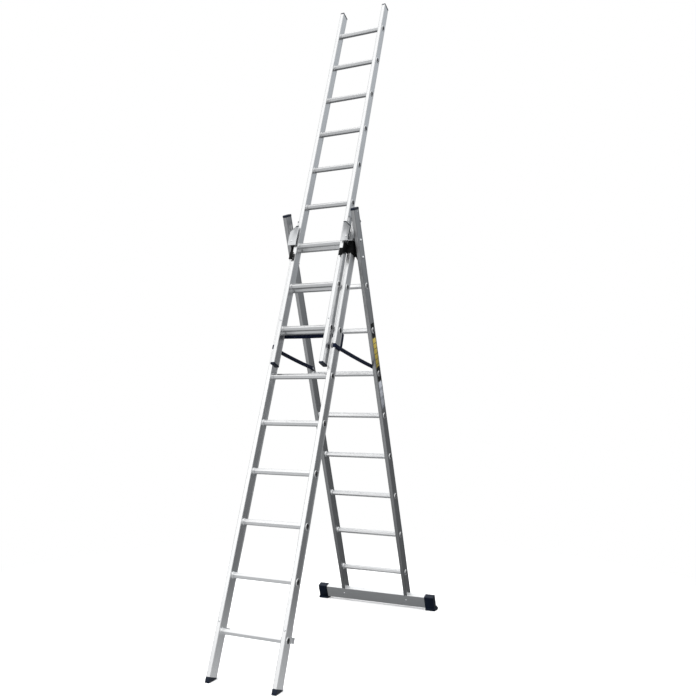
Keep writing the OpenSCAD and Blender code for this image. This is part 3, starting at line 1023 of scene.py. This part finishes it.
def copies_tree(name: str, extra: dict[str, str]) -> tuple[Shader, bpy.types.Node]:
    """Starts a geometry tree that lays copies of an object.

    Args:
        name: Tree name.
        extra: Socket type by name of the inputs besides Piece and Finish.

    Returns:
        The tree's builder and its input node.
    """
    tree = bpy.data.node_groups.new(name, "GeometryNodeTree")
    sockets = {"Geometry": GEOMETRY, **extra, "Piece": "NodeSocketObject", "Finish": "NodeSocketMaterial"}
    for key, kind in sockets.items():
        tree.interface.new_socket(name=key, in_out="INPUT", socket_type=kind)
    tree.interface.new_socket(name="Geometry", in_out="OUTPUT", socket_type=GEOMETRY)
    pad = Shader(tree)
    return pad, pad.add("NodeGroupInput")


def lay_copies(pad: Shader, ins: bpy.types.Node, where: dict[str, bpy.types.NodeSocket]) -> bpy.types.NodeTree:
    """Ends a tree from copies_tree.

    Args:
        pad: The tree's builder.
        ins: Its input node.
        where: Points, Rotation and, if they differ in size, Scale of the copies.

    Returns:
        The tree.
    """
    piece = pad.add("GeometryNodeObjectInfo", {"Object": ins.outputs["Piece"]})
    copies = pad.add("GeometryNodeInstanceOnPoints", {"Instance": piece.outputs["Geometry"], **where})
    real = pad.add("GeometryNodeRealizeInstances", {0: copies.outputs[0]})
    done = pad.add("GeometryNodeSetMaterial", {"Geometry": real.outputs[0], "Material": ins.outputs["Finish"]})
    pad.tree.links.new(done.outputs[0], pad.add("NodeGroupOutput").inputs[0])
    return pad.tree


def dots_tree() -> bpy.types.NodeTree:
    """Geometry nodes that run an object's copies along the edges of a mesh.

    Returns:
        The tree, with Pitch, Piece and Finish inputs.
    """
    pad, ins = copies_tree("run_of_copies", {"Pitch": FLOAT})
    curve = pad.add("GeometryNodeMeshToCurve", {0: ins.outputs["Geometry"]}).outputs[0]
    even = pad.add("GeometryNodeResampleCurve", {"Curve": curve, "Length": ins.outputs["Pitch"]}, mode="LENGTH")
    tangent = pad.add("GeometryNodeInputTangent").outputs[0]
    turn = pad.add("FunctionNodeAlignRotationToVector", {"Vector": tangent}, axis="X")
    return lay_copies(pad, ins, {"Points": even.outputs[0], "Rotation": turn.outputs[0]})


def heads_tree() -> bpy.types.NodeTree:
    """Geometry nodes that seat a fastener's head on each point of a mesh.

    Returns:
        The tree, with Piece and Finish inputs; points carry axis and size attributes.
    """
    pad, ins = copies_tree("seated_heads", {})
    axis, size = (pad.add("GeometryNodeInputNamedAttribute", {"Name": key}, data_type="FLOAT_VECTOR").outputs[0]
                  for key in ("axis", "size"))
    turn = pad.add("FunctionNodeAlignRotationToVector", {"Vector": axis}, axis="Z")
    return lay_copies(pad, ins, {"Points": ins.outputs["Geometry"], "Rotation": turn.outputs[0], "Scale": size})


def run_nodes(obj: bpy.types.Object, tree: bpy.types.NodeTree, inputs: dict[str, object]) -> None:
    """Runs a geometry tree on an object and keeps the plain mesh.

    Args:
        obj: The object.
        tree: The geometry tree.
        inputs: Values by input name.
    """
    mod = obj.modifiers.new("build", "NODES")
    mod.node_group = tree
    for item in tree.interface.items_tree:
        if item.item_type == "SOCKET" and item.in_out == "INPUT" and item.name in inputs:
            mod[item.identifier] = inputs[item.name]
    bake(obj)


@dataclass
class SpreaderStraps:
    """Webbing that holds the frame's spread: wraps, cross band and two diagonals.

    With band_drop at 0.0115 the cross band's ends sit 20 mm above its CAD node, which Blender pieces
    shouldn't do. At 0.0315 they are level with it.
    """

    middle: SectionFrame
    rear: SectionFrame
    fx: Effects
    ribbon: Ribbon = field(default_factory=Ribbon)
    carrying_rung: int = 7
    wrap_drop: float = 0.105
    rivet_rise: float = 0.040
    band_drop: float = 0.0115
    corner: float = 0.004
    tail: float = 0.014
    stitch_pitch: float = 0.0042
    margin: float = 0.003
    band_sag: float = 0.003
    diagonal_sag: float = 0.004
    run_bow: float = 0.002
    run_inset: float = 0.003
    clip_rise: float = 0.003
    seam: float = 0.009
    band_seam: float = 0.0095
    front_seam: float = 0.010
    front_inset: float = 0.002
    rear_inset: float = 0.030
    hold_front: float = 0.03
    hold_rear: float = 0.045

    def wrap_path(self, side: Side) -> list[Vector]:
        """Loop round a middle stile, with rounded corners.

        Args:
            side: Which stile.

        Returns:
            Points of the loop.
        """
        inner, outer = self.middle.stile_x
        half, t, r = self.middle.depth / 2, self.ribbon.thick / 2, self.corner
        x0, x1, d0, d1 = inner - t, outer + t, -half - t, half + t
        corners = [(x1 - r, d1 - r, 0), (x0 + r, d1 - r, 90), (x0 + r, d0 + r, 180), (x1 - r, d0 + r, 270)]
        height = self.wrap_height
        points = []
        for cx, cd, start in corners:
            for step in range(4):
                angle = math.radians(start + 30 * step)
                x, d = cx + r * math.cos(angle), cd + r * math.sin(angle)
                points.append(self.middle.point(side.value * x, d, height))
        return points if side is Side.RIGHT else list(reversed(points))

    @property
    def wrap_height(self) -> float:
        """Height of the wraps above the first rung."""
        return (self.carrying_rung - 1) * self.middle.pitch - self.wrap_drop

    @property
    def band_height(self) -> float:
        """Height of the cross band's middle above the first rung."""
        return (self.carrying_rung - 1) * self.middle.pitch - self.band_drop

    def band_path(self) -> list[Vector]:
        """Cross band from stile to stile, slightly slack."""
        inner, outer = self.middle.stile_x
        back = self.middle.depth / 2 + self.ribbon.thick / 2
        steps, points = 24, []
        for i in range(steps + 1):
            x = -outer + 2 * outer * i / steps
            over = self.ribbon.thick if abs(x) > inner else 0.0
            sag = self.band_sag * (1 - (x / outer) ** 2)
            points.append(self.middle.point(x, back + over, self.band_height - sag))
        return points

    def run_path(self, side: Side) -> list[Vector]:
        """Upright run behind a stile, edge on, from the wrap to the band.

        Args:
            side: Which stile.

        Returns:
            Points of the run.
        """
        outer = (self.middle.stile_x[1] - self.run_inset) * side.value
        back = self.middle.depth / 2 + 1.5 * self.ribbon.thick + self.ribbon.width / 2
        low, high = self.wrap_height, self.band_height + self.ribbon.width / 2
        steps = 8
        return [self.middle.point(outer, back + self.run_bow * math.sin(math.pi * i / steps),
                                  low + (high - low) * i / steps) for i in range(steps + 1)]

    def diagonal_ends(self, side: Side) -> tuple[Vector, Vector]:
        """Anchors of a diagonal: on the middle stile's outer side and the rear stile's inner side.

        Args:
            side: Which diagonal.

        Returns:
            The two anchor points.
        """
        t = self.ribbon.thick
        front_x = self.middle.stile_x[1] + 1.5 * t + SEAT_GAP
        front = self.middle.point(side.value * front_x, 0.0, self.wrap_height)
        rivet = (self.carrying_rung - 2) * self.rear.pitch + self.rivet_rise
        back = self.rear.point(side.value * (self.rear.stile_x[0] - t / 2 - SEAT_GAP), 0.0, rivet)
        return front, back

    def diagonal_path(self, side: Side) -> list[Vector]:
        """Diagonal between the sections, with its two tails.

        Args:
            side: Which diagonal.

        Returns:
            Points of the diagonal.
        """
        front, back = self.diagonal_ends(side)
        way = (back - front).normalized()
        start, end = front - way * self.tail, back + way * self.tail
        steps = 28
        points = []
        for i in range(steps + 1):
            share = i / steps
            place = start.lerp(end, share)
            place.z -= self.diagonal_sag * math.sin(math.pi * share)
            points.append(place)
        return points

    def stitches(self, name: str, lines: Sequence[Sequence[Vector]], thread: bpy.types.Material,
                 tree: bpy.types.NodeTree, stitch: bpy.types.Object) -> bpy.types.Object:
        """Runs of stitches along lines.

        Args:
            name: Name of the piece.
            lines: Lines to sew.
            thread: Thread material.
            tree: Geometry tree that lays the stitches.
            stitch: One stitch.

        Returns:
            The stitches as one piece.
        """
        bm = bmesh.new()
        for line in lines:
            verts = [bm.verts.new(p) for p in line]
            for a, b in zip(verts, verts[1:]):
                bm.edges.new((a, b))
        obj = add_object(name, mesh_from(bm, name))
        run_nodes(obj, tree, {"Pitch": self.stitch_pitch, "Piece": stitch, "Finish": thread})
        return obj

    def box_lines(self, centre: Vector, way: Vector, across: Vector, out: Vector, size: float) -> list[list[Vector]]:
        """Box-and-cross seam on the face of the webbing.

        Args:
            centre: Middle of the seam.
            way: Direction along the webbing.
            across: Direction across it.
            out: Direction out of its face.
            size: Half length of the box.

        Returns:
            Lines to sew.
        """
        half = self.ribbon.width / 2 - self.margin
        lift = out * (self.ribbon.thick / 2 + 0.0001)
        signs = ((-1, -1), (1, -1), (1, 1), (-1, 1))
        corner = [centre + lift + way * (size * a) + across * (half * b) for a, b in signs]
        return [corner + [corner[0]], [corner[0], corner[2]], [corner[1], corner[3]]]

    def build(self) -> None:
        """Builds every strap with its stitches."""
        webbing = Webbing("navy_webbing").build(self.fx)
        thread = Moulded("navy_thread", (0.006, 0.011, 0.03), 0.6).build(self.fx)
        clip_mat = Plated("clip_zinc", 0.42, 0.4).build(self.fx)
        tree = dots_tree()
        stitch = stitch_object(self.stitch_pitch * 0.72)
        bm = bmesh.new()
        along = self.middle.along
        for side in Side:
            self.ribbon.sweep(bm, self.wrap_path(side), along, closed=True)
            self.ribbon.sweep(bm, self.run_path(side), self.middle.back)
        self.ribbon.sweep(bm, self.band_path(), along)
        bmesh.ops.recalc_face_normals(bm, faces=bm.faces)
        cross = add_object("strap_cross_webbing", mesh_from(bm, "strap_cross_webbing"))
        cross.data.set_sharp_from_angle(angle=math.radians(50))
        cross.data.materials.append(webbing)
        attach(cross, Body.MIDDLE.value)
        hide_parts("strap_cross")
        lines: list[list[Vector]] = []
        back = self.middle.back
        for side in Side:
            seat = self.middle.point(side.value * sum(self.middle.stile_x) / 2,
                                     self.middle.depth / 2 + 1.5 * self.ribbon.thick, self.band_height)
            lines += self.box_lines(seat, X_WAY, along, back, self.band_seam)
        seams = self.stitches("strap_cross_stitches", lines, thread, tree, stitch)
        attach(seams, Body.MIDDLE.value)
        for side in Side:
            self.diagonal(side, webbing, thread, tree, stitch)
            self.clip(side, clip_mat)
        bpy.data.objects.remove(stitch)
        LOG.info("straps woven and sewn")

    def diagonal(self, side: Side, webbing: bpy.types.Material, thread: bpy.types.Material,
                 tree: bpy.types.NodeTree, stitch: bpy.types.Object) -> None:
        """Builds one diagonal strap and its seams.

        Args:
            side: Which side of the ladder.
            webbing: Webbing material.
            thread: Thread material.
            tree: Geometry tree that lays stitches.
            stitch: One stitch.
        """
        path = self.diagonal_path(side)
        front, back = self.diagonal_ends(side)
        way = (back - front).normalized()
        across = way.cross(X_WAY).normalized()
        out = Vector((side.value, 0, 0))
        bm = bmesh.new()
        self.ribbon.sweep(bm, path, across)
        bmesh.ops.recalc_face_normals(bm, faces=bm.faces)
        name = f"strap_{side.word}_webbing"
        strap = add_object(name, mesh_from(bm, name))
        strap.data.set_sharp_from_angle(angle=math.radians(50))
        strap.data.materials.append(webbing)
        lines = self.box_lines(front + way * self.front_inset, way, across, out, self.front_seam)
        for face in (out, -out):
            lines += self.box_lines(back - way * self.rear_inset, way, across, face, self.seam)
        seams = self.stitches(f"strap_{side.word}_stitches", lines, thread, tree, stitch)
        for piece in (strap, seams):
            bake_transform(piece)
        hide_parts(f"strap_{side.word}")

    def clip(self, side: Side, mat: bpy.types.Material) -> None:
        """Small pressed clip that closes a wrap on the stile's front.

        Args:
            side: Which side of the ladder.
            mat: Clip material.
        """
        half_w, half_h, wall, bar, setback = 0.005, self.ribbon.width / 2 + self.clip_rise, 0.0012, 0.0025, 0.006
        centre = self.middle.stile_x[0] + setback
        front = -self.middle.depth / 2 - self.ribbon.thick
        signs = ((-1, -1), (1, -1), (1, 1), (-1, 1))
        rings = [[(centre + a * w, b * h) for a, b in signs]
                 for w, h in ((half_w, half_h), (half_w - bar, half_h - bar))]
        bm = bmesh.new()
        layers = [[[bm.verts.new(self.middle.point(side.value * x, depth, self.wrap_height + h)) for x, h in ring]
                   for ring in rings] for depth in (front - wall, front)]
        for k in range(4):
            n = (k + 1) % 4
            for outer, inner in layers:
                bm.faces.new((outer[k], outer[n], inner[n], inner[k]))
            for fore, rear in zip(*layers):
                bm.faces.new((fore[k], rear[k], rear[n], fore[n]))
        bmesh.ops.recalc_face_normals(bm, faces=bm.faces)
        name = f"strap_clip_{side.word}"
        clip = add_object(name, mesh_from(bm, name, smooth=False))
        mod = clip.modifiers.new("round", "BEVEL")
        mod.width, mod.segments = 0.0004, 2
        bake(clip)
        set_finish(clip, mat)
        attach(clip, Body.MIDDLE.value)


def stitch_object(length: float) -> bpy.types.Object:
    """One stitch: a short lozenge of thread along X.

    Args:
        length: Its length.

    Returns:
        The stitch, to be removed when the sewing is done.
    """
    bm = bmesh.new()
    r, half = 0.0005, length / 2
    ring_a, ring_b = [], []
    for k in range(6):
        a = math.tau * k / 6
        ring_a.append(bm.verts.new((-half * 0.6, r * math.cos(a), r * math.sin(a))))
        ring_b.append(bm.verts.new((half * 0.6, r * math.cos(a), r * math.sin(a))))
    tip_a, tip_b = bm.verts.new((-half, 0, 0)), bm.verts.new((half, 0, 0))
    for k in range(6):
        n = (k + 1) % 6
        bm.faces.new((ring_a[k], ring_b[k], ring_b[n], ring_a[n]))
        bm.faces.new((ring_a[n], tip_a, ring_a[k]))
        bm.faces.new((ring_b[k], tip_b, ring_b[n]))
    bmesh.ops.recalc_face_normals(bm, faces=bm.faces)
    return add_object("stitch", mesh_from(bm, "stitch"))


@dataclass
class Island:
    """One solid of a CAD fastener node: where it sits, its axis and its size."""

    base: Vector
    axis: Vector
    radius: float
    height: float
    faces: list[list[tuple[float, float, float]]] = field(default_factory=list)


class Fasteners:
    """Screws, bolts and rivets: modelled heads on the seats the frame gives."""

    def __init__(self, fx: Effects) -> None:
        """Prepares the head and its finish.

        Args:
            fx: Shared node groups.
        """
        self.zinc = Plated("fastener_zinc", 0.86, 0.2).build(fx)
        self.tree = heads_tree()
        self.head = self.button_head()

    @staticmethod
    def button_head(segments: int = 24) -> bpy.types.Object:
        """Button head of unit radius and height with a hexagon socket, seated on z = 0.

        Args:
            segments: Facets round the head.

        Returns:
            The head, to be removed when all are seated.
        """
        rows = [(0.96, 0.0), (1.0, 0.06), (1.0, 0.2), (0.94, 0.45),
                (0.8, 0.7), (0.6, 0.88), (0.46, 0.95), (0.42, 0.93)]
        sockets = [(0.38, 0.9), (0.37, 0.45)]
        bm = bmesh.new()
        rings = []
        for index, (r, z) in enumerate(rows + sockets):
            ring = []
            for k in range(segments):
                a = math.tau * k / segments
                flat = math.cos(math.pi / 6) / math.cos((a % (math.pi / 3)) - math.pi / 6)
                hexed = flat if index >= len(rows) else 1.0
                ring.append(bm.verts.new((r * hexed * math.cos(a), r * hexed * math.sin(a), z)))
            rings.append(ring)
        for one, two in zip(rings, rings[1:]):
            for k in range(segments):
                n = (k + 1) % segments
                bm.faces.new((one[k], one[n], two[n], two[k]))
        bm.faces.new(list(reversed(rings[0])))
        bm.faces.new(rings[-1])
        bmesh.ops.recalc_face_normals(bm, faces=bm.faces)
        return add_object("button_head", mesh_from(bm, "button_head"))

    @staticmethod
    def islands(node: str) -> list[Island]:
        """Solids of a fastener node.

        Args:
            node: CAD node name.

        Returns:
            One island per solid.
        """
        bm = bmesh.new()
        bm.from_mesh(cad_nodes()[node].data)
        bmesh.ops.remove_doubles(bm, verts=bm.verts, dist=DOUBLES)
        bm.verts.index_update()
        bm.faces.index_update()
        left, found = set(bm.verts), []
        for start in bm.verts:
            if start not in left:
                continue
            left.remove(start)
            stack, group = [start], []
            while stack:
                vert = stack.pop()
                group.append(vert)
                for edge in vert.link_edges:
                    other = edge.other_vert(vert)
                    if other in left:
                        left.remove(other)
                        stack.append(other)
            found.append(Fasteners.measure(group))
            faces = sorted({f for v in group for f in v.link_faces}, key=lambda f: f.index)
            found[-1].faces = [[tuple(v.co) for v in f.verts] for f in faces]
        bm.free()
        return found

    @staticmethod
    def measure(group: Sequence[bmesh.types.BMVert]) -> Island:
        """Axis and size of one round solid, from its largest flat end.

        Args:
            group: The solid's vertices.

        Returns:
            Its island.
        """
        faces = {face for vert in group for face in vert.link_faces}
        areas: dict[tuple[float, float, float], float] = {}
        for face in faces:
            key = tuple(round(c, 2) for c in face.normal)
            areas[key] = areas.get(key, 0.0) + face.calc_area()
        seat_way = Vector(max(areas, key=areas.get)).normalized()
        axis = -seat_way
        along = [vert.co.dot(axis) for vert in group]
        low, high = min(along), max(along)
        seat = [vert.co for vert, at in zip(group, along) if at < low + 1e-5]
        base = sum(seat, Vector()) / len(seat)
        radius = max((co - base).length for co in seat)
        return Island(base, axis, radius, high - low)

    def build(self, node: str, body: Body) -> None:
        """Seats modelled heads in place of a fastener node.

        Args:
            node: CAD node replaced.
            body: Body it rides on.
        """
        found = self.islands(node)
        heads = [one for one in found if one.height < one.radius * 1.5]
        bolts = [one for one in found if one.height >= one.radius * 1.5]
        name = f"{node}_heads"
        mesh = bpy.data.meshes.new(name)
        mesh.from_pydata([tuple(one.base) for one in heads], [], [])
        for key, values in (("axis", [c for one in heads for c in one.axis]),
                            ("size", [c for one in heads for c in (one.radius, one.radius, one.height)])):
            mesh.attributes.new(key, "FLOAT_VECTOR", "POINT").data.foreach_set("vector", values)
        obj = add_object(name, mesh)
        run_nodes(obj, self.tree, {"Piece": self.head, "Finish": self.zinc})
        obj.data.set_sharp_from_angle(angle=math.radians(40))
        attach(obj, body.value)
        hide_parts(node)
        if bolts:
            self.bolts(node, body, bolts)
        LOG.info("%s: %d heads, %d bolts", node, len(heads), len(bolts))

    def bolts(self, node: str, body: Body, found: Sequence[Island]) -> None:
        """Through bolts with domed ends, kept in their CAD shape and smoothed.

        Args:
            node: CAD node they belong to.
            body: Body they ride on.
            found: Their solids.
        """
        bm = bmesh.new()
        for one in found:
            for face in one.faces:
                bm.faces.new([bm.verts.new(co) for co in face])
        bmesh.ops.remove_doubles(bm, verts=bm.verts, dist=1e-6)
        bmesh.ops.recalc_face_normals(bm, faces=bm.faces)
        name = f"{node}_bolts"
        obj = add_object(name, mesh_from(bm, name))
        obj.data.set_sharp_from_angle(angle=math.radians(35))
        obj.data.materials.append(self.zinc)
        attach(obj, body.value)


@dataclass
class Labels:
    """Two foil patches on the rear stile, with bars and no lettering: yellow above, silver below."""

    rear: SectionFrame
    fx: Effects
    backed_rungs: tuple[int, ...] = (6, 7)

    def build(self) -> None:
        """Builds both patches as one piece."""
        along = tuple(self.rear.along)
        yellow = Foil("yellow_foil", (0.58, 0.44, 0.05), (0.08, 0.075, 0.04), along).build(self.fx)
        silver = Foil("silver_foil", (0.55, 0.57, 0.62), (0.3, 0.32, 0.36), along, 0.06, 0.3).build(self.fx)
        piece = softened("labels", "labels_piece", Body.REAR, 0.00008, 1)
        low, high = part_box("labels")
        split = (low[2] + high[2]) / 2
        set_finish(piece, yellow, silver)
        for polygon in piece.data.polygons:
            polygon.material_index = 0 if polygon.center.z > split else 1
        black = Moulded("black_backing", (0.003, 0.0035, 0.003), 0.4, 0.2).build(self.fx)
        self.backing(black)

    def backing(self, mat: bpy.types.Material) -> None:
        """Dark rectangles of film round the rung ends beside the labels.

        Args:
            mat: Film material.
        """
        x = self.rear.stile_x[1] + 0.0001
        half_w, half_h, hole, least, count = 0.023, 0.046, 0.0205, 0.0005, 32
        bm = bmesh.new()
        for rung in self.backed_rungs:
            height = (rung - 1) * self.rear.pitch
            rows = []
            for k in range(count):
                a = math.tau * (k + 0.5) / count
                c, n = math.cos(a), math.sin(a)
                reach = min(half_w / max(abs(c), 1e-6), half_h / max(abs(n), 1e-6))
                reach = max(reach, hole + least)
                rows.append([bm.verts.new(self.rear.point(x, c * r, height + n * r)) for r in (hole, reach)])
            for k in range(count):
                one, two = rows[k], rows[(k + 1) % count]
                bm.faces.new((one[0], one[1], two[1], two[0]))
        bmesh.ops.recalc_face_normals(bm, faces=bm.faces)
        film = add_object("label_backing", mesh_from(bm, "label_backing", smooth=False))
        if film.data.polygons[0].normal.x < 0:
            film.data.flip_normals()
        mod = film.modifiers.new("film", "SOLIDIFY")
        mod.thickness, mod.offset = 0.0003, 1.0
        bake(film)
        set_finish(film, mat)
        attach(film, Body.REAR.value)


def main() -> None:
    """Builds the studio and dresses the ladder."""
    logging.basicConfig(level=logging.INFO, format="%(message)s")
    _FRAME.update(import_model())
    Studio().build()
    fx = Effects()
    sections = {
        "middle": SectionFrame("middle", Body.MIDDLE, 9),
        "rear": SectionFrame("rear", Body.REAR, 8),
        "top": SectionFrame("top", Body.TOP, 9),
    }
    Metalwork(sections, fx).build()
    Fittings(fx, sections["middle"]).build()
    SpreaderStraps(sections["middle"], sections["rear"], fx).build()
    Labels(sections["rear"], fx).build()
    fasteners = Fasteners(fx)
    for body, prefix in ((Body.MIDDLE, "middle"), (Body.REAR, "rear"), (Body.TOP, "top")):
        fasteners.build(f"{prefix}_fasteners", body)
    bpy.data.objects.remove(fasteners.head)


if __name__ == "__main__":
    main()
